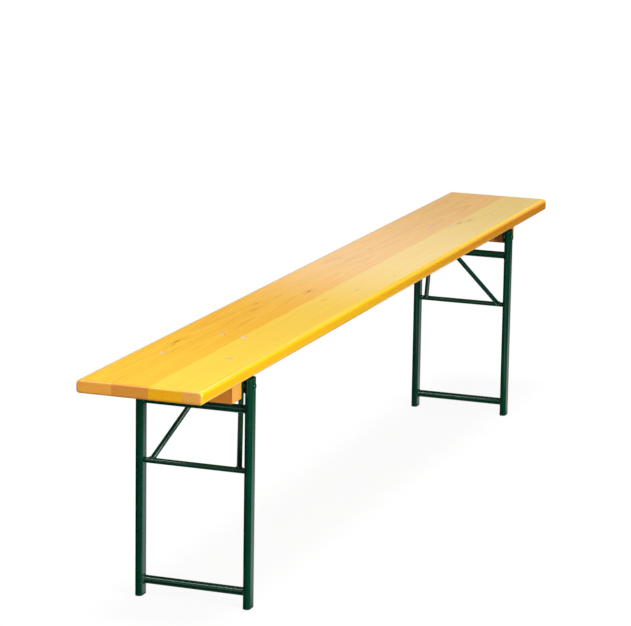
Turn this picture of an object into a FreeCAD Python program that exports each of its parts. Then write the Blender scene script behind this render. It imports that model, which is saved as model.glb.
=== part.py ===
import FreeCAD, Part
import math
import os

# A folding bench: a glued board of four staves on two hinged leg frames of flat oval tube.
# Each leg frame is held open by a V-shaped strut whose apex snaps into a catch under the board.
# Millimetres. X runs along the bench, Y across it and Z up. The origin is on the floor below the middle.
# Left is the -X end and right the +X end; front is the -Y side and back the +Y side.

# Board
bench_height = 485.0
board_length = 2200.0
board_width = 250.0
board_thickness = 26.0
top_edge_radius = 9.0
bottom_edge_radius = 6.0
end_edge_radius = 4.5
middle_joint_y = -19.0
second_stave_width = 73.0
third_stave_width = 66.0

# Leg frames
frame_inset = 269.0
leg_spread = 239.0
leg_width = 30.0
leg_depth = 15.0
leg_wall = 1.5
pivot_drop = 22.5
swing_clearance = 0.6
pivot_to_top_bar = 46.0
top_bar_diameter = 16.5
bottom_bar_height = 32.0
bottom_bar_diameter = 16.5

# Foot caps
cap_sole = 2.5
cap_stem_height = 12.0
cap_corner_radius = 0.8

# Struts
pivot_to_axle = 166.5
axle_diameter = 11.0
axle_end_gap = 0.5
strut_rod_diameter = 10.5
strut_foot_spacing = 182.0
strut_apex_width = 30.0
strut_reach = 199.0
strut_bend_radius = 7.0

# Hinge brackets and their rivets
bracket_thickness = 3.0
bracket_width = 44.0
bracket_bend_radius = 2.0
ear_width = 30.0
rivet_diameter = 8.0
rivet_head_diameter = 13.0
rivet_head_height = 2.6
pivot_washer_diameter = 18.0
pivot_washer_thickness = 1.0

# Bolts through the board
hinge_bolt_spacing = 135.0
catch_bolt_spacing = 46.0
bolt_diameter = 6.0
bolt_head_diameter = 13.5
bolt_head_height = 2.2
bolt_end_length = 2.0
head_recess_depth = 2.4
nut_across_flats = 10.0
nut_height = 5.0
nut_chamfer_degrees = 30.0
washer_diameter = 12.0
washer_thickness = 1.2

# Catches
catch_thickness = 2.0
catch_plate_width = 66.0
catch_plate_length = 50.0
catch_plate_margin = 9.0
catch_bolt_setback = 13.0
catch_rod_gap = 1.0
catch_hook_width = 10.0
catch_hook_clearance = 2.6
catch_hook_wrap_degrees = 30.0
catch_window_length = 15.0
catch_window_clearance = 1.0
catch_bend_radius = 1.2

# Cleats and their screws
cleat_width = 46.0
cleat_depth = 44.0
cleat_length = 206.0
cleat_gap = 2.1
cleat_edge_radius = 2.0
screw_spacing = 130.0
screw_diameter = 5.0
screw_head_diameter = 9.5
screw_grip = 14.0
screw_cross_length = 5.0
screw_cross_width = 1.1
screw_cross_depth = 1.8

# Fits
running_fit = 0.05
fixed_fit = 0.02
face_gap = 0.15

# Sizes that follow from those above
board_underside = bench_height - board_thickness
pivot_height = board_underside - pivot_drop
top_bar_height = pivot_height - pivot_to_top_bar
axle_height = pivot_height - pivot_to_axle
frame_x = board_length / 2 - frame_inset
swing_radius = pivot_drop - swing_clearance
leg_top = pivot_height + math.sqrt(swing_radius ** 2 - (leg_width / 2) ** 2)
leg_outer_y = leg_spread / 2
leg_inner_y = leg_outer_y - leg_depth
leg_centre_y = leg_outer_y - leg_depth / 2
ear_outer_y = leg_inner_y - pivot_washer_thickness - face_gap
ear_inner_y = ear_outer_y - bracket_thickness
apex_height = board_underside - catch_thickness - catch_rod_gap - strut_rod_diameter / 2
catch_x = frame_x - strut_reach
catch_bolt_x = catch_x + catch_bolt_setback

os.makedirs("parts", exist_ok=True)


def save(name, shape):
    """Write one piece, or one group of like pieces, under its own name."""
    shape.exportStep("parts/" + name + ".step")


def block(x_centre, x_size, y_low, y_high, z_low, z_high):
    """A box given by its middle and size along X and by its limits along Y and Z."""
    corner = FreeCAD.Vector(x_centre - x_size / 2, y_low, z_low)
    return Part.makeBox(x_size, y_high - y_low, z_high - z_low, corner)


def post(x, y, z_low, z_high, diameter):
    """A round bar that stands along Z."""
    return Part.makeCylinder(diameter / 2, z_high - z_low, FreeCAD.Vector(x, y, z_low))


def cross_bar(x, z, y_low, y_high, diameter):
    """A round bar that lies along Y."""
    start = FreeCAD.Vector(x, y_low, z)
    return Part.makeCylinder(diameter / 2, y_high - y_low, start, FreeCAD.Vector(0, 1, 0))


def flat_oval(x, y, z_low, z_high, width, depth):
    """A standing bar whose section is a slot shape, wide along X and rounded at its narrow sides."""
    radius = depth / 2
    reach = width / 2 - radius
    corners = [
        FreeCAD.Vector(x - reach, y - radius, z_low),
        FreeCAD.Vector(x + reach, y - radius, z_low),
        FreeCAD.Vector(x + reach, y + radius, z_low),
        FreeCAD.Vector(x - reach, y + radius, z_low),
    ]
    right_tip = FreeCAD.Vector(x + width / 2, y, z_low)
    left_tip = FreeCAD.Vector(x - width / 2, y, z_low)
    outline = Part.Wire([
        Part.LineSegment(corners[0], corners[1]).toShape(),
        Part.Arc(corners[1], right_tip, corners[2]).toShape(),
        Part.LineSegment(corners[2], corners[3]).toShape(),
        Part.Arc(corners[3], left_tip, corners[0]).toShape(),
    ])
    return Part.Face(outline).extrude(FreeCAD.Vector(0, 0, z_high - z_low))


def turned(profile, x, y):
    """A solid of revolution about the vertical through x, y from (radius, height) points."""
    points = [FreeCAD.Vector(x + radius, y, height) for radius, height in profile]
    outline = Part.makePolygon(points + points[:1])
    return Part.Face(outline).revolve(FreeCAD.Vector(x, y, 0), FreeCAD.Vector(0, 0, 1), 360)


def hinge_bolt_places():
    """The four places of the bolts that hold the hinge brackets."""
    half = hinge_bolt_spacing / 2
    return [(side * frame_x, y) for side in (-1, 1) for y in (-half, half)]


def catch_bolt_places():
    """The four places of the bolts that hold the catches."""
    half = catch_bolt_spacing / 2
    return [(side * catch_bolt_x, y) for side in (-1, 1) for y in (-half, half)]


def cleat_x(side):
    """The middle of a cleat, which stands outboard of the swing of the leg tops."""
    return side * (frame_x + swing_radius + cleat_gap + cleat_width / 2)


def screw_places():
    """The four places of the screws that hold the cleats."""
    half = screw_spacing / 2
    return [(cleat_x(side), y) for side in (-1, 1) for y in (-half, half)]


def screw(x, y, growth):
    """A countersunk wood screw driven up from the cleat's lower face; growth widens it into its bore."""
    shank = screw_diameter / 2 + growth
    head = screw_head_diameter / 2 + growth
    low = board_underside - cleat_depth
    cone_top = low + head - shank
    tip = board_underside + screw_grip + growth
    return turned([(0, low), (head, low), (shank, cone_top), (shank, tip - shank), (0, tip)], x, y)


def crossed_screw(x, y):
    """The screw itself, with the cross recess for the driver in its head."""
    low = board_underside - cleat_depth
    shape = screw(x, y, 0)
    for x_size, y_size in ((screw_cross_length, screw_cross_width), (screw_cross_width, screw_cross_length)):
        slot = block(x, x_size, y - y_size / 2, y + y_size / 2, low, low + screw_cross_depth)
        shape = shape.cut(slot)
    return shape


def board_blank():
    """The glued board with its rounded edges, before any bore."""
    half = board_width / 2
    board = block(0, board_length, -half, half, board_underside, bench_height)
    long_edges = [edge for edge in board.Edges if abs(edge.Length - board_length) < fixed_fit]
    top_edges = [edge for edge in long_edges if edge.BoundBox.ZMin > board_underside + board_thickness / 2]
    board = board.makeFillet(top_edge_radius, top_edges)
    long_edges = [edge for edge in board.Edges if abs(edge.Length - board_length) < fixed_fit]
    low_edges = [edge for edge in long_edges if edge.BoundBox.ZMax < board_underside + fixed_fit]
    board = board.makeFillet(bottom_edge_radius, low_edges)
    end_edges = [edge for edge in board.Edges if edge.BoundBox.XLength < fixed_fit]
    return board.makeFillet(end_edge_radius, end_edges)


def bored_board():
    """The board with the bores and head recesses of its bolts and the pilot holes of the cleat screws."""
    board = board_blank()
    for x, y in hinge_bolt_places() + catch_bolt_places():
        bore = post(x, y, board_underside, bench_height, bolt_diameter + 2 * fixed_fit)
        recess_diameter = bolt_head_diameter + 2 * face_gap
        recess = post(x, y, bench_height - head_recess_depth, bench_height, recess_diameter)
        board = board.cut(bore.fuse(recess))
    for x, y in screw_places():
        board = board.cut(screw(x, y, fixed_fit))
    return board


def make_staves():
    """The four staves of the board, from back to front."""
    board = bored_board()
    limits = [
        board_width / 2,
        middle_joint_y + second_stave_width,
        middle_joint_y,
        middle_joint_y - third_stave_width,
        -board_width / 2,
    ]
    for number, (y_high, y_low) in enumerate(zip(limits, limits[1:]), start=1):
        slab = block(0, board_length, y_low, y_high, board_underside, bench_height)
        save("seat_stave_%d" % number, board.common(slab).Solids[0])


def make_cleats():
    """The two cleats across the underside and their four screws."""
    half = cleat_length / 2
    low = board_underside - cleat_depth
    for side, name in ((-1, "left"), (1, "right")):
        cleat = block(cleat_x(side), cleat_width, -half, half, low, board_underside)
        lower_edges = [edge for edge in cleat.Edges if edge.BoundBox.ZMax < board_underside - fixed_fit]
        cleat = cleat.makeFillet(cleat_edge_radius, lower_edges)
        for x, y in screw_places():
            cleat = cleat.cut(screw(x, y, fixed_fit))
        save("cleat_" + name, cleat)
    save("cleat_screws", Part.makeCompound([crossed_screw(x, y) for x, y in screw_places()]))


def bent_strip(x):
    """A strip folded to a channel: flat under the board, its two ends bent straight down."""
    low = pivot_height - bracket_width
    outer = block(x, bracket_width, -ear_outer_y, ear_outer_y, low, board_underside)
    inner = block(x, bracket_width, -ear_inner_y, ear_inner_y, low, board_underside - bracket_thickness)
    bends = [edge for edge in outer.Edges if edge.BoundBox.ZMin > board_underside - fixed_fit
             and edge.BoundBox.YLength < fixed_fit]
    corners = [edge for edge in inner.Edges if edge.BoundBox.YLength < fixed_fit
               and edge.BoundBox.ZLength < fixed_fit and edge.BoundBox.ZMin > pivot_height]
    outer = outer.makeFillet(bracket_bend_radius + bracket_thickness, bends)
    return outer.cut(inner.makeFillet(bracket_bend_radius, corners))


def ear_outline(x):
    """A prism across the bench with the shape of the ears: they taper down to a round end about the pivot."""
    half_top = bracket_width / 2
    half_low = ear_width / 2
    start_y = -ear_outer_y
    points = [
        FreeCAD.Vector(x - half_low, start_y, pivot_height),
        FreeCAD.Vector(x - half_top, start_y, board_underside - bracket_thickness),
        FreeCAD.Vector(x - half_top, start_y, board_underside),
        FreeCAD.Vector(x + half_top, start_y, board_underside),
        FreeCAD.Vector(x + half_top, start_y, board_underside - bracket_thickness),
        FreeCAD.Vector(x + half_low, start_y, pivot_height),
    ]
    edges = [Part.LineSegment(first, second).toShape() for first, second in zip(points, points[1:])]
    bottom = FreeCAD.Vector(x, start_y, pivot_height - half_low)
    edges.append(Part.Arc(points[-1], bottom, points[0]).toShape())
    return Part.Face(Part.Wire(edges)).extrude(FreeCAD.Vector(0, 2 * ear_outer_y, 0))


def hinge_bracket(x):
    """A bent steel bracket under the board with an ear at each end, inside the legs."""
    plate_low = board_underside - bracket_thickness
    bracket = bent_strip(x).common(ear_outline(x))
    rivet_bore = cross_bar(x, pivot_height, -ear_outer_y, ear_outer_y, rivet_diameter + 2 * fixed_fit)
    bracket = bracket.cut(rivet_bore)
    for bolt_x, bolt_y in hinge_bolt_places():
        bore = post(bolt_x, bolt_y, plate_low, board_underside, bolt_diameter + 2 * fixed_fit)
        bracket = bracket.cut(bore)
    return bracket.Solids[0]


def domed_head(x, y, direction):
    """A rivet head whose flat side is at y and whose dome points along the direction, -1 or 1."""
    y_end = y + direction * rivet_head_height
    head = cross_bar(x, pivot_height, min(y, y_end), max(y, y_end), rivet_head_diameter)
    rim = [edge for edge in head.Edges if abs(edge.BoundBox.YMin - y_end) < fixed_fit
           and edge.BoundBox.YLength < fixed_fit]
    return head.makeFillet(0.85 * rivet_head_height, rim)


def pivot_rivet(x, y_sign):
    """A rivet through one ear and one leg, with a domed head at each end."""
    inner = y_sign * ear_inner_y
    outer = y_sign * (leg_outer_y + face_gap)
    shank = cross_bar(x, pivot_height, min(inner, outer), max(inner, outer), rivet_diameter)
    heads = [domed_head(x, inner, -y_sign), domed_head(x, outer, y_sign)]
    return shank.fuse(heads).removeSplitter()


def make_hinges():
    """Hinge brackets, pivot rivets and the washers between ear and leg."""
    rivets = []
    washers = []
    for side, name in ((-1, "left"), (1, "right")):
        x = side * frame_x
        save("hinge_bracket_" + name, hinge_bracket(x))
        for y_sign in (-1, 1):
            rivets.append(pivot_rivet(x, y_sign))
            ends = sorted((y_sign * ear_outer_y, y_sign * (ear_outer_y + pivot_washer_thickness)))
            disc = cross_bar(x, pivot_height, ends[0], ends[1], pivot_washer_diameter)
            hole = cross_bar(x, pivot_height, ends[0], ends[1], rivet_diameter + 2 * fixed_fit)
            washers.append(disc.cut(hole))
    save("pivot_rivets", Part.makeCompound(rivets))
    save("pivot_washers", Part.makeCompound(washers))


def bolt(x, y, plate_thickness):
    """A round-headed bolt that hangs through the board, a plate, a washer and a nut."""
    head_low = bench_height - head_recess_depth
    shank_low = board_underside - plate_thickness - washer_thickness - nut_height - bolt_end_length
    head = post(x, y, head_low, head_low + bolt_head_height, bolt_head_diameter)
    rim = [edge for edge in head.Edges if edge.BoundBox.ZMin > head_low + fixed_fit]
    head = head.makeFillet(0.8 * bolt_head_height, rim)
    shank = post(x, y, shank_low, head_low, bolt_diameter)
    return shank.fuse(head).removeSplitter()


def washer(x, y, z_high):
    """A flat washer under a plate."""
    disc = post(x, y, z_high - washer_thickness, z_high, washer_diameter)
    return disc.cut(post(x, y, z_high - washer_thickness, z_high, bolt_diameter + 2 * fixed_fit))


def nut(x, y, z_high):
    """A hexagon nut with its bore and with chamfered corners at both ends."""
    z_low = z_high - nut_height
    corner_radius = nut_across_flats / math.sqrt(3)
    face_radius = nut_across_flats / 2
    rise = (corner_radius - face_radius) * math.tan(math.radians(nut_chamfer_degrees))
    envelope = turned([
        (0, z_low),
        (face_radius, z_low),
        (corner_radius, z_low + rise),
        (corner_radius, z_high - rise),
        (face_radius, z_high),
        (0, z_high),
    ], x, y)
    corners = []
    for number in range(6):
        angle = math.radians(60 * number)
        across = corner_radius * math.cos(angle)
        along = corner_radius * math.sin(angle)
        corners.append(FreeCAD.Vector(x + across, y + along, z_low))
    prism = Part.Face(Part.makePolygon(corners + corners[:1])).extrude(FreeCAD.Vector(0, 0, nut_height))
    bore = post(x, y, z_low, z_high, bolt_diameter + 2 * fixed_fit)
    return prism.common(envelope).cut(bore).Solids[0]


def make_fasteners(name, places, plate_thickness):
    """Four bolts with their washers and nuts."""
    washer_top = board_underside - plate_thickness
    nut_top = washer_top - washer_thickness
    save(name + "_bolts", Part.makeCompound([bolt(x, y, plate_thickness) for x, y in places]))
    save(name + "_washers", Part.makeCompound([washer(x, y, washer_top) for x, y in places]))
    save(name + "_nuts", Part.makeCompound([nut(x, y, nut_top) for x, y in places]))


def catch(side):
    """A spring steel catch: a plate under the board, with a tongue pressed out of its window, which is bent
    down behind the strut's apex and curled under it."""
    x = side * catch_x
    plate_low = board_underside - catch_thickness
    half = catch_plate_width / 2
    inner_radius = strut_rod_diameter / 2 + catch_hook_clearance
    outer_radius = inner_radius + catch_thickness
    plate_x = side * (catch_bolt_x + catch_plate_margin - catch_plate_length / 2)
    plate = block(plate_x, catch_plate_length, -half, half, plate_low, board_underside)
    window_end = x + side * inner_radius
    window_x = window_end - side * catch_window_length / 2
    window_half = catch_hook_width / 2 + catch_window_clearance
    window = block(window_x, catch_window_length, -window_half, window_half, plate_low, board_underside)
    plate = plate.cut(window)
    hook_half = catch_hook_width / 2
    wall_x = x + side * (inner_radius + catch_thickness / 2)
    wall = block(wall_x, catch_thickness, -hook_half, hook_half, apex_height, board_underside)
    ring = cross_bar(x, apex_height, -hook_half, hook_half, 2 * outer_radius)
    ring = ring.cut(cross_bar(x, apex_height, -hook_half, hook_half, 2 * inner_radius))
    wrap = math.radians(catch_hook_wrap_degrees)
    centre = FreeCAD.Vector(x, -hook_half, apex_height)
    far = 2 * outer_radius
    behind = FreeCAD.Vector(x + side * far, -hook_half, apex_height)
    below = FreeCAD.Vector(x + side * far, -hook_half, apex_height - far)
    under = FreeCAD.Vector(x + side * far * math.cos(wrap), -hook_half, apex_height - far * math.sin(wrap))
    sector = Part.Face(Part.makePolygon([centre, behind, below, under, centre]))
    curl = ring.common(sector.extrude(FreeCAD.Vector(0, catch_hook_width, 0)))
    shape = plate.fuse([wall, curl]).removeSplitter()
    bend = [edge for edge in shape.Edges if edge.BoundBox.ZMin > board_underside - fixed_fit
            and edge.BoundBox.XLength < fixed_fit and abs(edge.BoundBox.XMin - window_end) < fixed_fit]
    shape = shape.makeFillet(catch_bend_radius, bend)
    for bolt_x, bolt_y in catch_bolt_places():
        shape = shape.cut(post(bolt_x, bolt_y, plate_low, board_underside, bolt_diameter + 2 * fixed_fit))
    return shape


def make_catches():
    """The catches at the inboard end of the struts."""
    for side, name in ((-1, "left"), (1, "right")):
        save("catch_" + name, catch(side))


def leg_bar(x, y):
    """The outer shape of one leg."""
    return flat_oval(x, y, cap_sole, leg_top, leg_width, leg_depth)


def leg(x, y_sign):
    """One leg tube, bored for the pivot rivet through both walls and for the strut axle through the inner."""
    y = y_sign * leg_centre_y
    hollow = flat_oval(x, y, cap_sole, leg_top, leg_width - 2 * leg_wall, leg_depth - 2 * leg_wall)
    tube = leg_bar(x, y).cut(hollow)
    walls = sorted((y_sign * leg_inner_y, y_sign * leg_outer_y))
    rivet_bore = cross_bar(x, pivot_height, walls[0], walls[1], rivet_diameter + 2 * running_fit)
    inner_wall = sorted((y_sign * leg_inner_y, y_sign * leg_centre_y))
    axle_bore = cross_bar(x, axle_height, inner_wall[0], inner_wall[1], axle_diameter + 2 * running_fit)
    return tube.cut(rivet_bore).cut(axle_bore)


def frame_bar(x, height, diameter):
    """A round cross bar whose ends are shaped to the two legs that they are welded to."""
    bar = cross_bar(x, height, -leg_centre_y, leg_centre_y, diameter)
    for y_sign in (-1, 1):
        bar = bar.cut(leg_bar(x, y_sign * leg_centre_y))
    return bar.Solids[0]


def foot_cap(x, y_sign):
    """A plastic end cap: a sole as wide as the tube, and a stem pushed up into it."""
    y = y_sign * leg_centre_y
    sole = flat_oval(x, y, 0, cap_sole, leg_width, leg_depth)
    rim = [edge for edge in sole.Edges if edge.BoundBox.ZMax < fixed_fit]
    sole = sole.makeFillet(cap_corner_radius, rim)
    loss = 2 * (leg_wall + fixed_fit)
    stem = flat_oval(x, y, cap_sole, cap_sole + cap_stem_height, leg_width - loss, leg_depth - loss)
    return sole.fuse(stem).removeSplitter()


def make_leg_frames():
    """Two welded leg frames: two legs, a top bar, a bottom bar and two foot caps each."""
    for side, name in ((-1, "left"), (1, "right")):
        x = side * frame_x
        for y_sign, place in ((-1, "front"), (1, "back")):
            save("leg_" + name + "_" + place, leg(x, y_sign))
            save("foot_cap_" + name + "_" + place, foot_cap(x, y_sign))
        save("top_bar_" + name, frame_bar(x, top_bar_height, top_bar_diameter))
        save("bottom_bar_" + name, frame_bar(x, bottom_bar_height, bottom_bar_diameter))


def strut_axle(x):
    """The axle of a strut, which turns in the inner walls of the two legs."""
    end = leg_outer_y - leg_wall - axle_end_gap
    return cross_bar(x, axle_height, -end, end, axle_diameter)


def strut_path(side):
    """The middle line of the V-shaped rod: up from the axle, across the apex and down again."""
    foot_x = side * frame_x
    apex_x = side * catch_x
    foot = FreeCAD.Vector(foot_x, strut_foot_spacing / 2, axle_height)
    corner = FreeCAD.Vector(apex_x, strut_apex_width / 2, apex_height)
    slope = (foot - corner).normalize()
    inward = FreeCAD.Vector(0, -1, 0)
    turn = math.pi - slope.getAngle(inward)
    tangent = strut_bend_radius * math.tan(turn / 2)
    bend_start = corner + slope * tangent
    bend_end = corner + inward * tangent
    halfway = (slope + inward).normalize()
    depth = strut_bend_radius * (1 / math.cos(turn / 2) - 1)
    bend_middle = corner + halfway * depth
    points = [foot, bend_start, bend_middle, bend_end]
    mirrored = [FreeCAD.Vector(point.x, -point.y, point.z) for point in points]
    return Part.Wire([
        Part.LineSegment(points[0], points[1]).toShape(),
        Part.Arc(points[1], points[2], points[3]).toShape(),
        Part.LineSegment(points[3], mirrored[3]).toShape(),
        Part.Arc(mirrored[3], mirrored[2], mirrored[1]).toShape(),
        Part.LineSegment(mirrored[1], mirrored[0]).toShape(),
    ])


def strut_rod(side):
    """The bent rod of a strut, its two feet shaped to the axle."""
    path = strut_path(side)
    start = path.Vertexes[0].Point
    direction = (path.Vertexes[1].Point - start).normalize()
    section = Part.Wire(Part.makeCircle(strut_rod_diameter / 2, start, direction))
    rod = path.makePipeShell([section], True, False)
    return rod.cut(strut_axle(side * frame_x)).Solids[0]


def make_struts():
    """The two struts, each an axle with a bent rod welded to it."""
    for side, name in ((-1, "left"), (1, "right")):
        save("strut_axle_" + name, strut_axle(side * frame_x))
        save("strut_rod_" + name, strut_rod(side))


make_staves()
make_cleats()
make_hinges()
make_fasteners("hinge", hinge_bolt_places(), bracket_thickness)
make_fasteners("catch", catch_bolt_places(), catch_thickness)
make_catches()
make_leg_frames()
make_struts()
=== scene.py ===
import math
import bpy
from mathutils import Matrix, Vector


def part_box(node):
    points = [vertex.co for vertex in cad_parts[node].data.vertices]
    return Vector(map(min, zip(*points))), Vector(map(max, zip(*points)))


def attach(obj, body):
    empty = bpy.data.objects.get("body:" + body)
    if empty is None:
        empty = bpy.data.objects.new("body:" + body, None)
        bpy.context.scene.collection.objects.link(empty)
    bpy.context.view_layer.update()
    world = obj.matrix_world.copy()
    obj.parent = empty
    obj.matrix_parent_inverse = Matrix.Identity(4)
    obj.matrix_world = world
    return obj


bl_info = {
    "name": "Folding Bench Finish",
    "version": (1, 0, 0),
    "blender": (4, 5, 0),
    "location": "View3D > Sidebar > Bench",
    "description": "Finishes a folding bench: varnished staves, painted leg frames, welds, stage and camera",
    "category": "Object",
}

import bpy
import numpy as np
from bpy.props import FloatProperty, FloatVectorProperty, IntProperty, PointerProperty
from mathutils import Matrix, Vector

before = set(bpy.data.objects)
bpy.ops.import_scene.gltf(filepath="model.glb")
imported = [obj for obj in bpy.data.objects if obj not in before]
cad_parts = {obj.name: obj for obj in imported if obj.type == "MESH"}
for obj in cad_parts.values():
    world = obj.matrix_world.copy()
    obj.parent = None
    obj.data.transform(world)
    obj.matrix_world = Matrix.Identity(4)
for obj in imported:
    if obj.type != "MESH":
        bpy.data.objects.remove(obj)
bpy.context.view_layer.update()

SIDES = ("left", "right")
ENDS = ("front", "back")


def shade(code):
    """The linear colour of a display colour written as six hexadecimal digits."""
    values = [int(code[place:place + 2], 16) / 255 for place in (0, 2, 4)]
    return tuple(v / 12.92 if v <= 0.04045 else ((v + 0.055) / 1.055) ** 2.4 for v in values)


def colour_property(label, code, text):
    """A colour that the user can change, given by its display code."""
    return FloatVectorProperty(
        name=label, description=text, default=shade(code), subtype="COLOR", size=3, min=0.0, max=1.0
    )


def strength_property(label, value, text):
    """A plain number that the user can change."""
    return FloatProperty(name=label, description=text, default=value)


def length_property(label, metres, text):
    """A length in metres that the user can change."""
    return FloatProperty(name=label, description=text, default=metres, unit="LENGTH", precision=5)


class BenchCameraSettings(bpy.types.PropertyGroup):
    """Where the camera stands and how it looks at the bench."""

    place: FloatVectorProperty(
        name="Place", description="Camera position", default=(-6.0263, -2.1626, 1.7814), unit="LENGTH"
    )
    heading: FloatProperty(
        name="Heading", description="Turn of the view from +X towards +Y",
        default=math.radians(20.3085), subtype="ANGLE",
    )
    dip: FloatProperty(
        name="Dip", description="How far the view points below the horizon",
        default=math.radians(12.1543), subtype="ANGLE",
    )
    roll: FloatProperty(
        name="Roll", description="Turn of the picture about the view axis",
        default=math.radians(-0.9017), subtype="ANGLE",
    )
    lens: FloatProperty(name="Lens", description="Focal length in millimetres", default=174.148)


class BenchStageSettings(bpy.types.PropertyGroup):
    """Floor, surroundings, lamps and the cards that only the gloss mirrors."""

    floor_white: colour_property("Floor white", "F6F6F5", "What the camera sees of the studio floor")
    floor_grey: colour_property("Floor grey", "9A9894", "What the floor throws back on the bench")
    floor_size: length_property("Floor size", 60.0, "Side of the square floor")
    floor_glow: strength_property("Floor glow", 0.92, "Share of plain white in what the camera sees")
    world_level: strength_property("World level", 0.34, "Strength of the even light from all round")
    sun_level: strength_property("Sun level", 2.27, "Strength of the high soft light")
    sun_heading: FloatProperty(
        name="Sun heading", description="Where the high light stands, turned from +X towards +Y",
        default=math.radians(-165.0), subtype="ANGLE",
    )
    sun_height: FloatProperty(
        name="Sun height", description="Height of the high light above the horizon",
        default=math.radians(79.0), subtype="ANGLE",
    )
    sun_spread: FloatProperty(
        name="Sun spread", description="Apparent size of the high light",
        default=math.radians(16.0), subtype="ANGLE",
    )
    key_power: strength_property("Key power", 94.0, "Power of the large lamp at the front left")
    key_place: FloatVectorProperty(
        name="Key place", description="Where the lamp hangs", default=(-1.9, -2.8, 1.2), unit="LENGTH"
    )
    key_size: length_property("Key size", 1.6, "Side of the lamp")
    mirror_warm: colour_property("Warm card", "FFE838", "What the varnish mirrors near the left end")
    mirror_dark: colour_property("Amber card", "C8A018", "What the varnish mirrors left of the middle")
    mirror_pale: colour_property("Pale card", "E8E8E6", "What the varnish mirrors past the middle")
    mirror_dim: colour_property("Dim card", "A4A4A0", "What the varnish mirrors at the right end")
    mirror_floor: colour_property("Dark card", "0A0C0B", "What the round bars and the board's edge mirror")
    mirror_side: colour_property("Side card", "3A2A0A", "What the rounding of the front edge mirrors")
    rim_power: strength_property("Rim power", 55.0, "Power of the long lamp at the back left")
    rim_place: FloatVectorProperty(
        name="Rim place", description="Where the long lamp hangs", default=(-3.6, 1.85, 4.0), unit="LENGTH"
    )
    rim_length: length_property("Rim length", 2.0, "Length of the long lamp")
    rim_height: length_property("Rim height", 0.55, "Height of the long lamp")


class BenchBoardSettings(bpy.types.PropertyGroup):
    """Colours and grain of the varnished board and cleats."""

    golden: colour_property("Golden", "FDBC3F", "Early wood of the two back staves")
    honey: colour_property("Honey", "FDD455", "Early wood of the two front staves")
    amber: colour_property("Amber", "DE8A1E", "Late wood under varnish")
    edge: colour_property("Edge", "FFC40A", "Long front edge, where the varnish is thick")
    # Painted shade: the long edges turn darker and oranger towards the right end, standing in for the key
    # lamp's light falling off along the bench.
    edge_far: colour_property("Edge, far end", "FFA61A", "The same edge towards the right end")
    end_back: colour_property("End, back stave", "FFB24A", "End grain of the back stave")
    end_second: colour_property("End, second stave", "E89A40", "End grain of the second stave")
    end_third: colour_property("End, third stave", "FFB91A", "End grain of the third stave")
    end_front: colour_property("End, front stave", "F7B250", "End grain of the front stave")
    knot: colour_property("Knot", "7A4312", "Heart of a knot")
    cleat: colour_property("Cleat", "D9893A", "Wood of the cleats")
    ring_spacing: length_property("Ring spacing", 0.0055, "Distance from one growth ring to the next")
    varnish_roughness: strength_property("Varnish roughness", 0.07, "Roughness of the clear coat")


class BenchMetalSettings(bpy.types.PropertyGroup):
    """Paint, bare metal, plastic and the weld beads."""

    paint: colour_property("Paint", "003D29", "Green paint of the leg frames")
    paint_shadow: colour_property("Paint shadow", "02241A", "Deeper tone in the paint's slow variation")
    zinc: colour_property("Zinc", "C9C8C4", "Plated nuts, washers and screws")
    # Bolt heads: a paler, less metallic copy of the zinc, partly their own dull plating and partly painted
    # light from the lit top of the board.
    bolt_zinc: colour_property("Bolt heads", "EAE8E2", "Plated bolts, seen from above")
    spring: colour_property("Spring steel", "9A9894", "Catches")
    plastic: colour_property("Plastic", "151515", "Foot caps")
    rod_radius: length_property("Strut rod", 0.00525, "Radius of the strut rod")
    bead_radius: length_property("Bead radius", 0.0019, "Half width of a weld bead")
    bead_ripple: strength_property("Bead ripple", 0.13, "Height of the ripples as a share of the bead")
    bead_ripples: IntProperty(name="Ripples", description="Ripples round one weld bead", default=22)
    strut_foot_offset: length_property("Strut foot", 0.091, "From the bench's middle line to each strut foot")
    strut_apex_offset: length_property("Strut apex", 0.015, "From the middle line to each apex corner")


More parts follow.
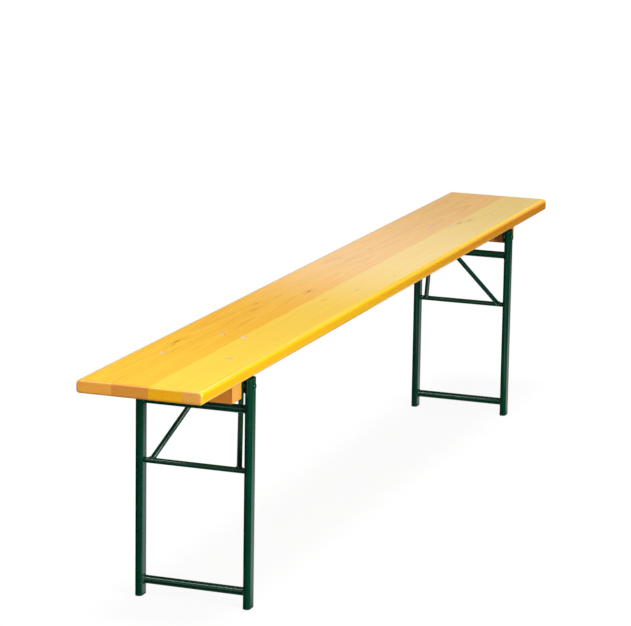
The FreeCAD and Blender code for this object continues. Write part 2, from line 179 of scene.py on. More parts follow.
class Tree:
    """One node tree under construction: each method adds a node, feeds it and gives back an output socket."""

    def __init__(self, tree):
        self.tree = tree

    def feed(self, socket, value):
        """Link a socket to another, or write a plain value on it."""
        if isinstance(value, bpy.types.NodeSocket):
            self.tree.links.new(value, socket)
        elif socket.type == "RGBA" and len(value) == 3:
            socket.default_value = (*value, 1.0)
        else:
            socket.default_value = value

    def add(self, kind, settings=(), inputs=()):
        """Add a node with its own settings and the values of its inputs, by name or number."""
        node = self.tree.nodes.new(kind)
        for name, value in dict(settings).items():
            setattr(node, name, value)
        for name, value in dict(inputs).items():
            self.feed(node.inputs[name], value)
        return node

    def math(self, operation, first, second=0.0):
        """One arithmetic step on two numbers."""
        return self.add("ShaderNodeMath", {"operation": operation}, {0: first, 1: second}).outputs[0]

    def ramp(self, value, low, high, start=0.0, end=1.0):
        """A smooth step from start to end while the value goes from low to high."""
        inputs = {"Value": value, "From Min": low, "From Max": high, "To Min": start, "To Max": end}
        return self.add("ShaderNodeMapRange", {"interpolation_type": "SMOOTHSTEP"}, inputs).outputs["Result"]

    def mix(self, factor, first, second):
        """Two colours mixed by a factor."""
        node = self.add("ShaderNodeMix", {"data_type": "RGBA"})
        self.feed(node.inputs[0], factor)
        self.feed(node.inputs[6], first)
        self.feed(node.inputs[7], second)
        return node.outputs[2]

    def noise(self, vector, scale, detail=2.0, roughness=0.5):
        """A soft cloud pattern from 0 to 1."""
        inputs = {"Vector": vector, "Scale": scale, "Detail": detail, "Roughness": roughness}
        return self.add("ShaderNodeTexNoise", (), inputs).outputs[0]

    def stretch(self, vector, scale, move=(0.0, 0.0, 0.0), turn=(0.0, 0.0, 0.0)):
        """The vector scaled along each axis, turned and then moved."""
        inputs = {"Vector": vector, "Location": move, "Rotation": turn, "Scale": scale}
        return self.add("ShaderNodeMapping", {"vector_type": "POINT"}, inputs).outputs[0]

    def split(self, vector):
        """The three parts of a vector."""
        return self.add("ShaderNodeSeparateXYZ", (), {0: vector}).outputs

    def coordinates(self):
        """Object coordinates and the object-space normal."""
        node = self.add("ShaderNodeTexCoord")
        return node.outputs["Object"], node.outputs["Normal"]

    def group(self, name, **inputs):
        """A shared node group, fed by its socket names with spaces written as underscores."""
        node = self.tree.nodes.new("ShaderNodeGroup")
        node.node_tree = bpy.data.node_groups[name]
        for key, value in inputs.items():
            self.feed(node.inputs[key.replace("_", " ")], value)
        return node.outputs

    def bump(self, height, strength, distance):
        """A normal from a height in the given distance."""
        inputs = {"Height": height, "Strength": strength, "Distance": distance}
        return self.add("ShaderNodeBump", (), inputs).outputs[0]


def new_group(name, inputs, outputs):
    """An empty node group with named sockets: the tools to fill it, what comes in and what goes out."""
    tree = bpy.data.node_groups.new(name, "ShaderNodeTree")
    for label, kind in inputs.items():
        tree.interface.new_socket(name=label, in_out="INPUT", socket_type=kind)
    for label, kind in outputs.items():
        tree.interface.new_socket(name=label, in_out="OUTPUT", socket_type=kind)
    tools = Tree(tree)
    return tools, tools.add("NodeGroupInput").outputs, tools.add("NodeGroupOutput").inputs


def new_material(name):
    """A material with an empty Principled shader, and the tools to fill it."""
    material = bpy.data.materials.new(name)
    material.use_nodes = True
    tree = material.node_tree
    return material, Tree(tree), tree.nodes["Principled BSDF"]


def finish_node(name, material):
    """Give a carried-over node its material."""
    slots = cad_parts[name].data.materials
    slots.clear()
    slots.append(material)


# How strongly fine fibres, rings on end grain, and a knot's halo and core show.
FINE_SHARE = 0.6
END_RING_SHARE = 0.16
HALO_SHARE = 0.35
CORE_SHARE = 0.85

# How far the slow noise pushes the growth rings of the staves and the cleats, in metres.
STAVE_FLOW = 0.010
CLEAT_FLOW = 0.006

# The cleats: the shift that brings the heart of their tree onto the X axis, and the contrast of the rings.
CLEAT_HEART = (0.3, 0.02, -0.30)
CLEAT_CONTRAST = 0.35

# How the names of the zinc plated nodes begin. The two catches are spring steel.
PLATED = ("hinge_bolts", "hinge_washers", "hinge_nuts", "pivot_washers", "catch_", "cleat_screws")

# Weld beads: points round a bar and round a strut foot, each with the points round the bead itself, and how
# the ripples shift from bar to bar and for each metre from leg to leg.
BAR_BEAD_STEPS = 180
BAR_BEAD_SIDES = 14
FOOT_BEAD_STEPS = 140
FOOT_BEAD_SIDES = 12
BAR_PHASE = 1.7
LEG_PHASE = 9

# The mirror wall: its distance from the camera, half its width, the height of its foot above the floor, the
# height of the card itself, and how far its bands of colour rise for each metre to the right.
WALL_DISTANCE = 13.0
WALL_HALF_WIDTH = 6.0
WALL_FOOT = 0.7
WALL_RISE = 3.6
WALL_SLANT = 0.077

# The mirror floor: its corners, the two slopes that bound a wedge, and for each of the two wedges where
# y + WEDGE_STEEP * x opens it, where y + WEDGE_GENTLE * x closes it, and where it starts along x. Each of
# these is a soft step between two values.
FLOOR_CARD = ((-7.0, -7.0, 0.0015), (9.0, -7.0, 0.0015), (9.0, 7.0, 0.0015), (-7.0, 7.0, 0.0015))
WEDGE_STEEP = 0.75
WEDGE_GENTLE = 0.37
WEDGES = (
    ((-0.8, -0.68), (-0.16, -0.11), (-0.86, -0.8)),
    ((0.44, 0.56), (0.45, 0.5), (0.8, 0.86)),
)

# Cards of one colour: name, corners, and the setting that holds the colour.
SIDE_CARD = ((0.0, -3.0, 0.0), (24.0, -3.0, 0.0), (24.0, -3.0, 9.0), (0.0, -3.0, 9.0))
CEILING_CARD = ((-14.0, -5.0, 4.8), (6.0, -5.0, 4.8), (6.0, 9.0, 4.8), (-14.0, 9.0, 4.8))
PLAIN_CARDS = (
    ("Mirror side", SIDE_CARD, "mirror_side"),
    ("Mirror ceiling", CEILING_CARD, "mirror_floor"),
)

# Lamps: how far off the high light hangs, and the points that the other two look at.
SUN_DISTANCE = 6.0
KEY_TARGET = (-0.3, 0.0, 0.3)
RIM_TARGET = (-0.2, 0.0, 0.3)

# Knots in the board: middle along X, middle along Y, half length, half width in metres, and darkness.
KNOTS = (
    (-0.737, 0.079, 0.020, 0.0030, 0.75),
    (-0.765, 0.074, 0.012, 0.0022, 0.45),
    (-0.346, 0.069, 0.011, 0.0024, 0.45),
    (-0.396, 0.050, 0.024, 0.0020, 0.45),
    (-0.187, 0.014, 0.009, 0.0036, 1.00),
    (-0.258, -0.046, 0.009, 0.0022, 0.30),
    (-0.132, -0.074, 0.010, 0.0024, 0.35),
    (0.044, -0.096, 0.008, 0.0024, 0.30),
    (0.176, 0.077, 0.010, 0.0026, 0.40),
    (0.700, -0.030, 0.018, 0.0030, 0.70),
    (0.742, -0.042, 0.016, 0.0026, 0.60),
    (0.955, 0.083, 0.008, 0.0026, 0.40),
)


def make_ring_group():
    """Growth rings: the distance from the heart line, bent by slow noise, divided by the spacing; the part
    after the decimal point climbs through late wood and falls sharply at the next ring."""
    sockets = {
        "Vector": "NodeSocketVector",
        "Spacing": "NodeSocketFloat",
        "Flow": "NodeSocketFloat",
        "Bend": "NodeSocketFloat",
    }
    tools, source, sink = new_group("Growth Rings", sockets, {"Late": "NodeSocketFloat"})
    y, z = tools.split(source["Vector"])[1:]
    square = tools.math("ADD", tools.math("MULTIPLY", y, y), tools.math("MULTIPLY", z, z))
    radius = tools.math("SQRT", square)
    slow = tools.noise(tools.stretch(source["Vector"], (0.9, 9.0, 9.0)), 1.0, 2.0)
    quick = tools.noise(tools.stretch(source["Vector"], (7.0, 60.0, 60.0)), 1.0, 1.0)
    sway = tools.math("MULTIPLY", tools.math("SUBTRACT", slow, 0.5), source["Flow"])
    shiver = tools.math("MULTIPLY", tools.math("SUBTRACT", quick, 0.5), 0.0016)
    radius = tools.math("ADD", radius, tools.math("ADD", sway, shiver))
    radius = tools.math("ADD", radius, source["Bend"])
    phase = tools.math("FRACT", tools.math("DIVIDE", radius, source["Spacing"]))
    climb = tools.ramp(phase, 0.3, 0.88)
    fall = tools.ramp(phase, 0.93, 1.0, 1.0, 0.0)
    tools.feed(sink["Late"], tools.math("MULTIPLY", climb, fall))


def make_fibre_group():
    """Fine fibres: noise drawn out along X, from 0 to 1."""
    tools, source, sink = new_group("Fibres", {"Vector": "NodeSocketVector"}, {"Fibre": "NodeSocketFloat"})
    fine = tools.noise(tools.stretch(source["Vector"], (6.0, 900.0, 900.0)), 1.0, 2.0, 0.6)
    broad = tools.noise(tools.stretch(source["Vector"], (1.6, 90.0, 90.0)), 1.0, 2.0)
    fine = tools.math("MULTIPLY", fine, FINE_SHARE)
    broad = tools.math("MULTIPLY", broad, 1.0 - FINE_SHARE)
    tools.feed(sink["Fibre"], tools.math("ADD", fine, broad))


def make_knot_group():
    """Knots: each is an ellipse about its place; the core is inside it, the halo fades to three times its
    size, and the bend pushes the rings aside."""
    outputs = {"Core": "NodeSocketFloat", "Halo": "NodeSocketFloat", "Bend": "NodeSocketFloat"}
    tools, source, sink = new_group("Knots", {"Vector": "NodeSocketVector"}, outputs)
    x, y = tools.split(source["Vector"])[:2]
    core = 0.0
    halo = 0.0
    bend = 0.0
    for knot_x, knot_y, half_length, half_width, darkness in KNOTS:
        along = tools.math("DIVIDE", tools.math("SUBTRACT", x, knot_x), half_length)
        across = tools.math("DIVIDE", tools.math("SUBTRACT", y, knot_y), half_width)
        squares = tools.math("MULTIPLY", along, along), tools.math("MULTIPLY", across, across)
        reach = tools.math("SQRT", tools.math("ADD", *squares))
        core = tools.math("MAXIMUM", core, tools.ramp(reach, 0.4, 1.3, darkness, 0.0))
        near = tools.ramp(reach, 0.8, 5.0, darkness, 0.0)
        halo = tools.math("MAXIMUM", halo, near)
        bend = tools.math("ADD", bend, tools.math("MULTIPLY", near, half_width))
    tools.feed(sink["Core"], core)
    tools.feed(sink["Halo"], halo)
    tools.feed(sink["Bend"], bend)


def glue_lines(tools, place):
    """The joints between the staves: a thin line at each, broken up along the board."""
    y = tools.split(place)[1]
    broken = tools.ramp(tools.noise(tools.stretch(place, (9.0, 0.0, 0.0)), 1.0, 3.0, 0.7), 0.42, 0.6)
    lines = 0.0
    for number, strength in ((1, 0.5), (2, 0.28), (3, 0.12)):
        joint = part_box("seat_stave_" + str(number))[0].y
        gap = tools.math("ABSOLUTE", tools.math("SUBTRACT", y, joint))
        lines = tools.math("MAXIMUM", lines, tools.ramp(gap, 0.0002, 0.0016, strength, 0.0))
    return tools.math("MULTIPLY", lines, broken)


def wood_surface(
    tools, vector, along, across, pale, deep, edge, end_colour, knot_colour, spacing, flow, contrast, knotty
):
    """Colour, ring mask and fibre of one wooden piece: pale early wood, deep late wood, fine fibres,
    knots where wanted, the edge colour on its long sides, and end grain where the normal lies along it."""
    bend = 0.0
    if knotty:
        knots = tools.group("Knots", Vector=knotty)
        bend = knots["Bend"]
    late = tools.group("Growth Rings", Vector=vector, Spacing=spacing, Flow=flow, Bend=bend)["Late"]
    fibre = tools.group("Fibres", Vector=vector)["Fibre"]
    side = tools.ramp(tools.math("ABSOLUTE", across), 0.35, 0.95)
    clouds = tools.noise(tools.stretch(vector, (2.2, 30.0, 30.0)), 1.0, 2.0)
    patch = tools.ramp(clouds, 0.35, 0.65, 0.35, 1.0)
    streak = tools.math("MULTIPLY", tools.math("MULTIPLY", late, patch), contrast)
    colour = tools.mix(streak, tools.mix(side, pale, edge), deep)
    colour = tools.mix(tools.ramp(fibre, 0.4, 0.7, 0.0, 0.2), colour, deep)
    if knotty:
        colour = tools.mix(tools.math("MULTIPLY", knots["Halo"], HALO_SHARE), colour, deep)
        colour = tools.mix(tools.math("MULTIPLY", knots["Core"], CORE_SHARE), colour, knot_colour)
        colour = tools.mix(glue_lines(tools, knotty), colour, knot_colour)
    end = tools.ramp(tools.math("ABSOLUTE", along), 0.45, 0.9)
    end_tone = tools.mix(tools.math("MULTIPLY", late, END_RING_SHARE), end_colour, deep)
    return tools.mix(end, colour, end_tone), late, fibre


def varnish(tools, shader, colour, late, fibre, roughness):
    """A clear glossy varnish over wood whose late rings stand a hair proud."""
    tools.feed(shader.inputs["Base Color"], colour)
    tools.feed(shader.inputs["Roughness"], tools.ramp(fibre, 0.2, 0.8, 0.34, 0.46))
    shader.inputs["Coat Weight"].default_value = 1.0
    shader.inputs["Coat Roughness"].default_value = roughness
    shader.inputs["Specular IOR Level"].default_value = 0.1
    relief = tools.math("ADD", tools.math("MULTIPLY", late, 0.5), fibre)
    tools.feed(shader.inputs["Normal"], tools.bump(relief, 0.25, 0.00012))


class BENCH_OT_board(bpy.types.Operator):
    """Varnished spruce on the four staves and the two cleats."""

    bl_idname = "bench.board"
    bl_label = "Finish the board"

    def execute(self, context):
        settings = context.scene.bench_board
        make_ring_group()
        make_fibre_group()
        make_knot_group()
        # Each stave: node, early wood, end grain, the shift that brings the heart of its tree onto the X
        # axis, the lean of its rings, and their contrast.
        looks = (
            ("seat_stave_1", settings.golden, settings.end_back, (0.10, -0.089, -0.440), 0.016, 0.34),
            ("seat_stave_2", settings.golden, settings.end_second, (0.70, -0.022, -0.452), -0.022, 0.40),
            ("seat_stave_3", settings.honey, settings.end_third, (1.60, 0.160, -0.470), 0.006, 0.20),
            ("seat_stave_4", settings.honey, settings.end_front, (2.30, -0.020, -0.460), -0.004, 0.20),
        )
        for name, pale, end_colour, heart, lean, contrast in looks:
            material, tools, shader = new_material("Varnished " + name.replace("_", " "))
            place, normal = tools.coordinates()
            vector = tools.stretch(place, (1.0, 1.0, 1.0), heart, (0.0, lean, 0.0))
            facing = tools.split(normal)
            # Painted shade: the edge colour darkens along X towards the right end, where less lamp light
            # falls.
            far = tools.ramp(tools.split(place)[0], -0.3, 0.9)
            edge = tools.mix(far, tuple(settings.edge), tuple(settings.edge_far))
            look = wood_surface(
                tools, vector, facing[0], facing[1], tuple(pale), tuple(settings.amber), edge,
                tuple(end_colour), tuple(settings.knot), settings.ring_spacing, STAVE_FLOW, contrast, place,
            )
            varnish(tools, shader, *look, settings.varnish_roughness)
            finish_node(name, material)
        self.finish_cleats(settings)
        return {"FINISHED"}

    def finish_cleats(self, settings):
        """The cleats' grain runs across the bench, so their pattern is turned a quarter."""
        material, tools, shader = new_material("Varnished cleat")
        place, normal = tools.coordinates()
        parts = tools.split(place)
        turned = tools.add("ShaderNodeCombineXYZ", (), {0: parts[1], 1: parts[0], 2: parts[2]}).outputs[0]
        vector = tools.stretch(turned, (1.0, 1.0, 1.0), CLEAT_HEART)
        facing = tools.split(normal)
        look = wood_surface(
            tools, vector, facing[1], 0.0, tuple(settings.cleat), tuple(settings.amber),
            tuple(settings.cleat), tuple(settings.end_front), tuple(settings.knot),
            settings.ring_spacing, CLEAT_FLOW, CLEAT_CONTRAST, None,
        )
        varnish(tools, shader, *look, settings.varnish_roughness)
        for side in SIDES:
            finish_node("cleat_" + side, material)


def paint_material(settings):
    """Glossy green paint with a slow change of tone and a faint orange-peel surface."""
    material, tools, shader = new_material("Green paint")
    place = tools.coordinates()[0]
    slow = tools.noise(place, 14.0, 3.0)
    peel = tools.noise(place, 700.0, 2.0)
    share = tools.ramp(slow, 0.3, 0.7, 0.3, 0.0)
    tone = tools.mix(share, tuple(settings.paint), tuple(settings.paint_shadow))
    tools.feed(shader.inputs["Base Color"], tone)
    tools.feed(shader.inputs["Roughness"], tools.ramp(slow, 0.3, 0.7, 0.15, 0.2))
    shader.inputs["Specular IOR Level"].default_value = 0.5
    tools.feed(shader.inputs["Normal"], tools.bump(peel, 0.06, 0.0002))
    return material


def metal_material(name, colour, roughness, metallic=1.0):
    """Plated steel: a metal whose roughness changes in small clouds."""
    material, tools, shader = new_material(name)
    place = tools.coordinates()[0]
    clouds = tools.noise(place, 260.0, 3.0)
    tools.feed(shader.inputs["Base Color"], tools.mix(clouds, colour, tuple(0.75 * part for part in colour)))
    shader.inputs["Metallic"].default_value = metallic
    tools.feed(shader.inputs["Roughness"], tools.ramp(clouds, 0.3, 0.7, roughness, roughness + 0.15))
    tools.feed(shader.inputs["Normal"], tools.bump(clouds, 0.1, 0.0001))
    return material


class BENCH_OT_paint(bpy.types.Operator):
    """Green paint on the leg frames and struts."""

    bl_idname = "bench.paint"
    bl_label = "Paint the leg frames"

    def execute(self, context):
        material = paint_material(context.scene.bench_metal)
        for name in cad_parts:
            if name.startswith(("leg_", "top_bar", "bottom_bar", "strut_", "hinge_bracket", "pivot_rivets")):
                finish_node(name, material)
        return {"FINISHED"}


class BENCH_OT_hardware(bpy.types.Operator):
    """Plated hardware, spring steel catches and plastic foot caps."""

    bl_idname = "bench.hardware"
    bl_label = "Finish the hardware"

    def execute(self, context):
        settings = context.scene.bench_metal
        zinc = metal_material("Zinc plate", tuple(settings.zinc), 0.28)
        # The bolt heads' paler zinc is partly dull plating and partly painted light of the sunlit top.
        heads = metal_material("Zinc bolt heads", tuple(settings.bolt_zinc), 0.4, 0.4)
        spring = metal_material("Spring steel", tuple(settings.spring), 0.34)
        plastic, tools, shader = new_material("Black plastic")
        grain = tools.noise(tools.coordinates()[0], 900.0, 2.0)
        shader.inputs["Base Color"].default_value = (*settings.plastic, 1.0)
        tools.feed(shader.inputs["Roughness"], tools.ramp(grain, 0.3, 0.7, 0.42, 0.55))
        tools.feed(shader.inputs["Normal"], tools.bump(grain, 0.2, 0.0002))
        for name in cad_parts:
            if name in ("catch_left", "catch_right"):
                finish_node(name, spring)
            elif name.startswith(PLATED):
                finish_node(name, heads if name.endswith("_bolts") else zinc)
            elif name.startswith("foot_cap"):
                finish_node(name, plastic)
        return {"FINISHED"}


def ring_faces(rows, columns):
    """Four-sided faces between neighbouring points of a grid that closes both ways."""
    row, column = np.meshgrid(np.arange(rows), np.arange(columns), indexing="ij")
    next_row = (row + 1) % rows
    next_column = (column + 1) % columns
    corners = [
        row * columns + column, row * columns + next_column,
        next_row * columns + next_column, next_row * columns + column,
    ]
    return np.stack([corner.ravel() for corner in corners], axis=1)


def bead_points(line, normal, binormal, radius, sides):
    """A tube about a closed line: each point is the line's point plus the radius there times the cosine
    along the normal and the sine along the binormal."""
    turn = np.linspace(0.0, 2 * np.pi, sides, endpoint=False)
    cosine = np.cos(turn)[None, :, None]
    sine = np.sin(turn)[None, :, None]
    spread = normal[:, None, :] * cosine + binormal[:, None, :] * sine
    return line[:, None, :] + radius[:, None, None] * spread


def piece_from_rings(name, rings, material, body):
    """One object from several closed rings of bead points, with its normals pointing outwards."""
    points = []
    faces = []
    offset = 0
    for grid in rings:
        rows, columns = grid.shape[:2]
        points.append(grid.reshape(-1, 3))
        faces.append(ring_faces(rows, columns) + offset)
        offset += rows * columns
    points = np.concatenate(points)
    faces = np.concatenate(faces)
    mesh = bpy.data.meshes.new(name)
    mesh.from_pydata(points.tolist(), [], outward(points, faces).tolist())
    mesh.shade_smooth()
    mesh.materials.append(material)
    piece = bpy.data.objects.new(name, mesh)
    bpy.context.scene.collection.objects.link(piece)
    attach(piece, body)


def outward(points, faces):
    """The faces as they are, or reversed where the signed volume of the whole is negative."""
    first, second, third, fourth = (points[faces[:, place]] for place in range(4))
    volume = np.einsum("ij,ij->i", first, np.cross(second, third))
    volume += np.einsum("ij,ij->i", first, np.cross(third, fourth))
    return faces if volume.sum() > 0 else faces[:, ::-1]


def ripple(angle, settings, phase):
    """The bead's radius round the joint: its half width times one plus a small cosine ripple."""
    wave = np.cos(settings.bead_ripples * angle + phase) + 0.5 * np.cos(5 * angle + 2 * phase)
    return settings.bead_radius * (1 + settings.bead_ripple * wave)


def bar_bead(bar_box, leg_face, settings, phase):
    """A ring round a cross bar where it meets a leg: a circle of the bar's radius about the bar's axis."""
    low, high = bar_box
    radius = (high.z - low.z) / 2
    angle = np.linspace(0.0, 2 * np.pi, BAR_BEAD_STEPS, endpoint=False)
    radial = np.stack([np.cos(angle), np.zeros_like(angle), np.sin(angle)], axis=1)
    centre = np.array([(low.x + high.x) / 2, leg_face, (low.z + high.z) / 2])
    axis = np.tile([0.0, 1.0, 0.0], (len(angle), 1))
    return bead_points(centre + radius * radial, radial, axis, ripple(angle, settings, phase), BAR_BEAD_SIDES)


def foot_bead(foot, direction, rod_radius, axle_radius, settings, phase):
    """A ring round a strut foot: on each line along the rod's skin, the point that lies on the axle's skin,
    which is where the part of the offset square to the axle has the axle's radius."""
    angle = np.linspace(0.0, 2 * np.pi, FOOT_BEAD_STEPS, endpoint=False)
    side = np.cross(direction, [0.0, 1.0, 0.0])
    side /= np.linalg.norm(side)
    other = np.cross(direction, side)
    radial = np.cos(angle)[:, None] * side + np.sin(angle)[:, None] * other
    skin = rod_radius * radial
    flat = np.array([1.0, 0.0, 1.0])
    slope = direction * flat
    offset = skin * flat
    a = slope @ slope
    b = offset @ slope
    c = np.einsum("ij,ij->i", offset, offset) - axle_radius ** 2
    reach = (-b + np.sqrt(np.maximum(b * b - a * c, 0.0))) / a
    line = foot + skin + reach[:, None] * direction
    ahead = np.tile(direction, (len(angle), 1))
    return bead_points(line, radial, ahead, ripple(angle, settings, phase), FOOT_BEAD_SIDES)


class BENCH_OT_welds(bpy.types.Operator):
    """Weld beads where the cross bars meet the legs and the strut rods meet their axles."""

    bl_idname = "bench.welds"
    bl_label = "Add the weld beads"

    def execute(self, context):
        settings = context.scene.bench_metal
        material = bpy.data.materials["Green paint"]
        for side in SIDES:
            self.weld_frame(side, settings, material)
            self.weld_strut(side, settings, material)
        return {"FINISHED"}

    def weld_frame(self, side, settings, material):
        """Four beads on one leg frame."""
        rings = []
        for number, bar in enumerate(("top_bar_", "bottom_bar_")):
            for end in ENDS:
                low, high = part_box("leg_" + side + "_" + end)
                face = high.y if end == "front" else low.y
                phase = BAR_PHASE * number + LEG_PHASE * low.y
                rings.append(bar_bead(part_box(bar + side), face, settings, phase))
        piece_from_rings("weld_beads_frame_" + side, rings, material, "leg_frame_" + side)

    def weld_strut(self, side, settings, material):
        """Two beads on one strut."""
        axle_low, axle_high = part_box("strut_axle_" + side)
        rod_low, rod_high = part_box("strut_rod_" + side)
        axle = (axle_low + axle_high) / 2
        axle_radius = (axle_high.z - axle_low.z) / 2
        rod_radius = settings.rod_radius
        apex_x = rod_high.x - rod_radius if side == "left" else rod_low.x + rod_radius
        rings = []
        for sign in (-1, 1):
            foot = np.array([axle.x, sign * settings.strut_foot_offset, axle.z])
            apex = np.array([apex_x, sign * settings.strut_apex_offset, rod_high.z - rod_radius])
            direction = (apex - foot) / np.linalg.norm(apex - foot)
            rings.append(foot_bead(foot, direction, rod_radius, axle_radius, settings, sign))
        piece_from_rings("weld_beads_strut_" + side, rings, material, "strut_" + side)


class BENCH_OT_camera(bpy.types.Operator):
    """A camera that sees the bench from above its left front corner."""

    bl_idname = "bench.camera"
    bl_label = "Place the camera"

    def execute(self, context):
        settings = context.scene.bench_camera
        heading, dip, roll = settings.heading, settings.dip, settings.roll
        ahead = Vector((math.cos(heading) * math.cos(dip), math.sin(heading) * math.cos(dip), -math.sin(dip)))
        level = Vector((math.sin(heading), -math.cos(heading), 0.0))
        down = ahead.cross(level)
        right = math.cos(roll) * level + math.sin(roll) * down
        down = -math.sin(roll) * level + math.cos(roll) * down
        camera = bpy.data.objects.new("Bench camera", bpy.data.cameras.new("Bench camera"))
        context.scene.collection.objects.link(camera)
        turn = Matrix((right, -down, -ahead)).transposed()
        camera.matrix_world = Matrix.Translation(settings.place) @ turn.to_4x4()
        camera.data.lens = settings.lens
        camera.data.sensor_width = 36.0
        camera.data.clip_end = 200.0
        context.scene.camera = camera
        return {"FINISHED"}


class BENCH_OT_stage(bpy.types.Operator):
    """White floor, even white surroundings, soft lamps, and cards that only the gloss mirrors."""

    bl_idname = "bench.stage"
    bl_label = "Set the stage"

    def execute(self, context):
        settings = context.scene.bench_stage
        self.make_world(context, settings)
        self.make_floor(context, settings)
        self.make_mirror_wall(context, settings)
        self.make_mirror_floor(context, settings)
        self.make_plain_cards(context, settings)
        self.make_lamps(context, settings)
        context.scene.view_settings.view_transform = "Standard"
        return {"FINISHED"}

    def make_world(self, context, settings):
        """Plain white to the camera and to mirrors, a plain even light to everything else."""
        world = bpy.data.worlds.new("Bench world")
        world.use_nodes = True
        context.scene.world = world
        tools = Tree(world.node_tree)
        background = world.node_tree.nodes["Background"]
        inputs = {"Value": seen_rays(tools), "To Min": settings.world_level, "To Max": 1.0}
        level = tools.add("ShaderNodeMapRange", (), inputs)
        background.inputs["Color"].default_value = (1.0, 1.0, 1.0, 1.0)
        tools.feed(background.inputs["Strength"], level.outputs[0])

    def make_floor(self, context, settings):
        """A flat square at floor height: grey to the bench, and to the camera part lit white, part plain
        white."""
        half = settings.floor_size / 2
        corners = [(-half, -half, 0), (half, -half, 0), (half, half, 0), (-half, half, 0)]
        material, tools, shader = new_material("Studio floor")
        seen = seen_rays(tools)
        tone = tools.mix(seen, tuple(settings.floor_grey), tuple(settings.floor_white))
        tools.feed(shader.inputs["Base Color"], tone)
        shader.inputs["Roughness"].default_value = 0.9
        shader.inputs["Specular IOR Level"].default_value = 0.0
        glow = tools.add("ShaderNodeEmission", (), {"Color": (1.0, 1.0, 1.0)}).outputs[0]
        share = tools.math("MULTIPLY", seen, settings.floor_glow)
        mixed = tools.add("ShaderNodeMixShader", (), {0: share, 1: shader.outputs[0], 2: glow}).outputs[0]
        tools.feed(material.node_tree.nodes["Material Output"].inputs["Surface"], mixed)
        stage_quad(context, "Floor", corners, material)

    def make_mirror_wall(self, context, settings):
        """An upright card beyond the bench, square to the view: dark at the top, then warm, which the
        board's left half mirrors, and pale low down, which its right half mirrors."""
        heading = context.scene.bench_camera.heading
        ahead = Vector((math.cos(heading), math.sin(heading), 0.0))
        aside = Vector((math.sin(heading), -math.cos(heading), 0.0))
        foot = Vector(context.scene.bench_camera.place) + WALL_DISTANCE * ahead
        foot.z = WALL_FOOT
        rise = Vector((0.0, 0.0, WALL_RISE))
        left_foot = foot - WALL_HALF_WIDTH * aside
        right_foot = foot + WALL_HALF_WIDTH * aside
        corners = [left_foot, right_foot, right_foot + rise, left_foot + rise]
        material, tools, shader = new_material("Mirror wall")
        place = tools.coordinates()[0]
        dot = tools.add("ShaderNodeVectorMath", {"operation": "DOT_PRODUCT"}, {0: place, 1: tuple(aside)})
        sideways = tools.math("SUBTRACT", dot.outputs["Value"], foot.dot(aside))
        sideways = tools.math("MULTIPLY", sideways, WALL_SLANT)
        depth = tools.math("SUBTRACT", sideways, tools.split(place)[2])
        falling = tools.ramp(depth, -2.35, -2.02)
        high = tools.mix(falling, tuple(settings.mirror_warm), tuple(settings.mirror_dark))
        falling = tools.ramp(depth, -1.75, -1.42)
        low = tools.mix(falling, tuple(settings.mirror_pale), tuple(settings.mirror_dim))
        colour = tools.mix(tools.ramp(depth, -1.97, -1.76), high, low)
        colour = tools.mix(tools.ramp(depth, -3.0, -2.5), tuple(settings.mirror_side), colour)
        self.glow_only(tools, shader, colour)
        mirror_only(stage_quad(context, "Mirror wall", corners, material))

    def make_mirror_floor(self, context, settings):
        """A card just above the floor for the reflections in upright faces: a white wedge for each leg
        frame, which the front faces of its legs mirror, and dark elsewhere."""
        material, tools, shader = new_material("Mirror floor")
        x, y = tools.split(tools.coordinates()[0])[:2]
        steep = tools.math("ADD", y, tools.math("MULTIPLY", x, WEDGE_STEEP))
        gentle = tools.math("ADD", y, tools.math("MULTIPLY", x, WEDGE_GENTLE))
        masks = []
        for opens, closes, side in WEDGES:
            wedge = tools.math("MULTIPLY", tools.ramp(steep, *opens), tools.ramp(gentle, *closes, 1.0, 0.0))
            masks.append(tools.math("MULTIPLY", wedge, tools.ramp(x, *side)))
        fade = tools.ramp(y, -0.86, -0.3, 0.0, 0.8)
        white = tools.math("MULTIPLY", tools.math("MAXIMUM", *masks), fade)
        colour = tools.mix(white, tuple(settings.mirror_floor), tuple(settings.floor_white))
        self.glow_only(tools, shader, colour)
        mirror_only(stage_quad(context, "Mirror floor", FLOOR_CARD, material))

    def make_plain_cards(self, context, settings):
        """The cards of one colour: one to the right, which the rounding of the board's front edge mirrors,
        and one overhead, which the round bars mirror."""
        for name, corners, key in PLAIN_CARDS:
            material, tools, shader = new_material(name)
            self.glow_only(tools, shader, tuple(getattr(settings, key)))
            mirror_only(stage_quad(context, name, corners, material))

    def glow_only(self, tools, shader, colour):
        """A plain colour that needs no light."""
        shader.inputs["Base Color"].default_value = (0.0, 0.0, 0.0, 1.0)
        shader.inputs["Specular IOR Level"].default_value = 0.0
        shader.inputs["Emission Strength"].default_value = 1.0
        tools.feed(shader.inputs["Emission Color"], colour)

    def make_lamps(self, context, settings):
        """A soft light from nearly overhead, a large low lamp at the front left for the front faces, and a
        long lamp at the back left that shows in gloss and not in matt surfaces."""
        sun = bpy.data.lights.new("High light", "SUN")
        sun.energy = settings.sun_level
        sun.angle = settings.sun_spread
        level = math.cos(settings.sun_height)
        place = Vector((
            level * math.cos(settings.sun_heading),
            level * math.sin(settings.sun_heading),
            math.sin(settings.sun_height),
        ))
        self.hang_lamp(context, sun, SUN_DISTANCE * place, Vector((0.0, 0.0, 0.0)))
        key = bpy.data.lights.new("Key lamp", "AREA")
        key.energy = settings.key_power
        key.size = settings.key_size
        self.hang_lamp(context, key, Vector(settings.key_place), Vector(KEY_TARGET))
        rim = bpy.data.lights.new("Rim lamp", "AREA")
        rim.energy = settings.rim_power
        rim.shape = "RECTANGLE"
        rim.size = settings.rim_length
        rim.size_y = settings.rim_height
        lamp = self.hang_lamp(context, rim, Vector(settings.rim_place), Vector(RIM_TARGET))
        lamp.visible_diffuse = False

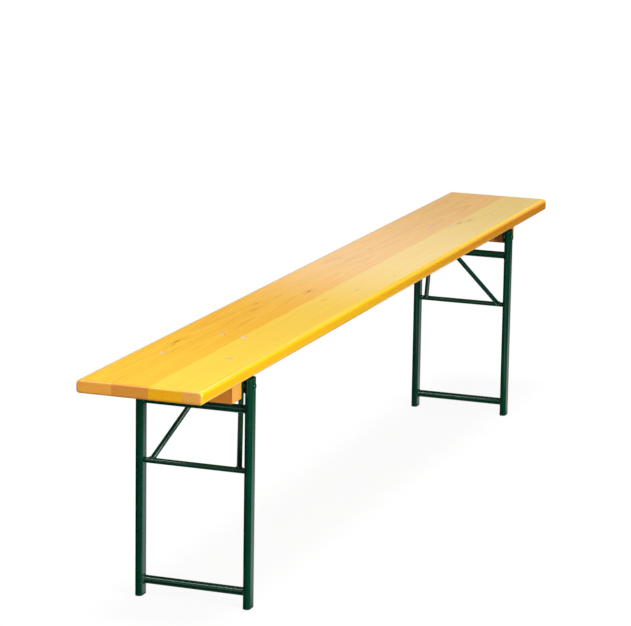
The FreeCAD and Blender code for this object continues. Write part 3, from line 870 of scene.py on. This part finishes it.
    def hang_lamp(self, context, data, place, target):
        """Put a lamp at a place so that it points at the target."""
        lamp = bpy.data.objects.new(data.name, data)
        context.scene.collection.objects.link(lamp)
        lamp.location = place
        lamp.rotation_euler = (target - place).to_track_quat("-Z", "Y").to_euler()
        return lamp


def seen_rays(tools):
    """One for the rays of the camera, of mirrors and of glass, and nought for the rest."""
    path = tools.add("ShaderNodeLightPath").outputs
    seen = tools.math("MAXIMUM", path["Is Camera Ray"], path["Is Glossy Ray"])
    return tools.math("MAXIMUM", seen, path["Is Transmission Ray"])


def stage_quad(context, name, corners, material):
    """A flat four-sided piece of the stage."""
    mesh = bpy.data.meshes.new(name)
    mesh.from_pydata([tuple(corner) for corner in corners], [], [(0, 1, 2, 3)])
    mesh.materials.append(material)
    quad = bpy.data.objects.new(name, mesh)
    context.scene.collection.objects.link(quad)
    return quad


def mirror_only(quad):
    """Hide a card from everything but reflections."""
    quad.visible_camera = False
    quad.visible_diffuse = False
    quad.visible_shadow = False
    quad.visible_transmission = False
    quad.visible_volume_scatter = False


class BENCH_PT_panel(bpy.types.Panel):
    """The steps of the finish, in order, with their settings."""

    bl_label = "Folding Bench"
    bl_idname = "BENCH_PT_panel"
    bl_space_type = "VIEW_3D"
    bl_region_type = "UI"
    bl_category = "Bench"

    def draw(self, context):
        for step in STEPS:
            self.layout.operator(step.bl_idname)
        for name, group in GROUPS.items():
            box = self.layout.box()
            settings = getattr(context.scene, name)
            for key in group.__annotations__:
                box.prop(settings, key)


STEPS = (BENCH_OT_camera, BENCH_OT_stage, BENCH_OT_board, BENCH_OT_paint, BENCH_OT_hardware, BENCH_OT_welds)
GROUPS = {
    "bench_camera": BenchCameraSettings,
    "bench_stage": BenchStageSettings,
    "bench_board": BenchBoardSettings,
    "bench_metal": BenchMetalSettings,
}


def register():
    """Register every class and hang the settings on the scene."""
    for group in GROUPS.values():
        bpy.utils.register_class(group)
    for step in STEPS:
        bpy.utils.register_class(step)
    bpy.utils.register_class(BENCH_PT_panel)
    for name, group in GROUPS.items():
        setattr(bpy.types.Scene, name, PointerProperty(type=group))


def unregister():
    """Take the settings and the classes away again."""
    for name in GROUPS:
        delattr(bpy.types.Scene, name)
    bpy.utils.unregister_class(BENCH_PT_panel)
    for step in reversed(STEPS):
        bpy.utils.unregister_class(step)
    for group in GROUPS.values():
        bpy.utils.unregister_class(group)


def main():
    """Run every step in order."""
    register()
    for step in STEPS:
        group, name = step.bl_idname.split(".")
        getattr(getattr(bpy.ops, group), name)()


if __name__ == "__main__":
    main()
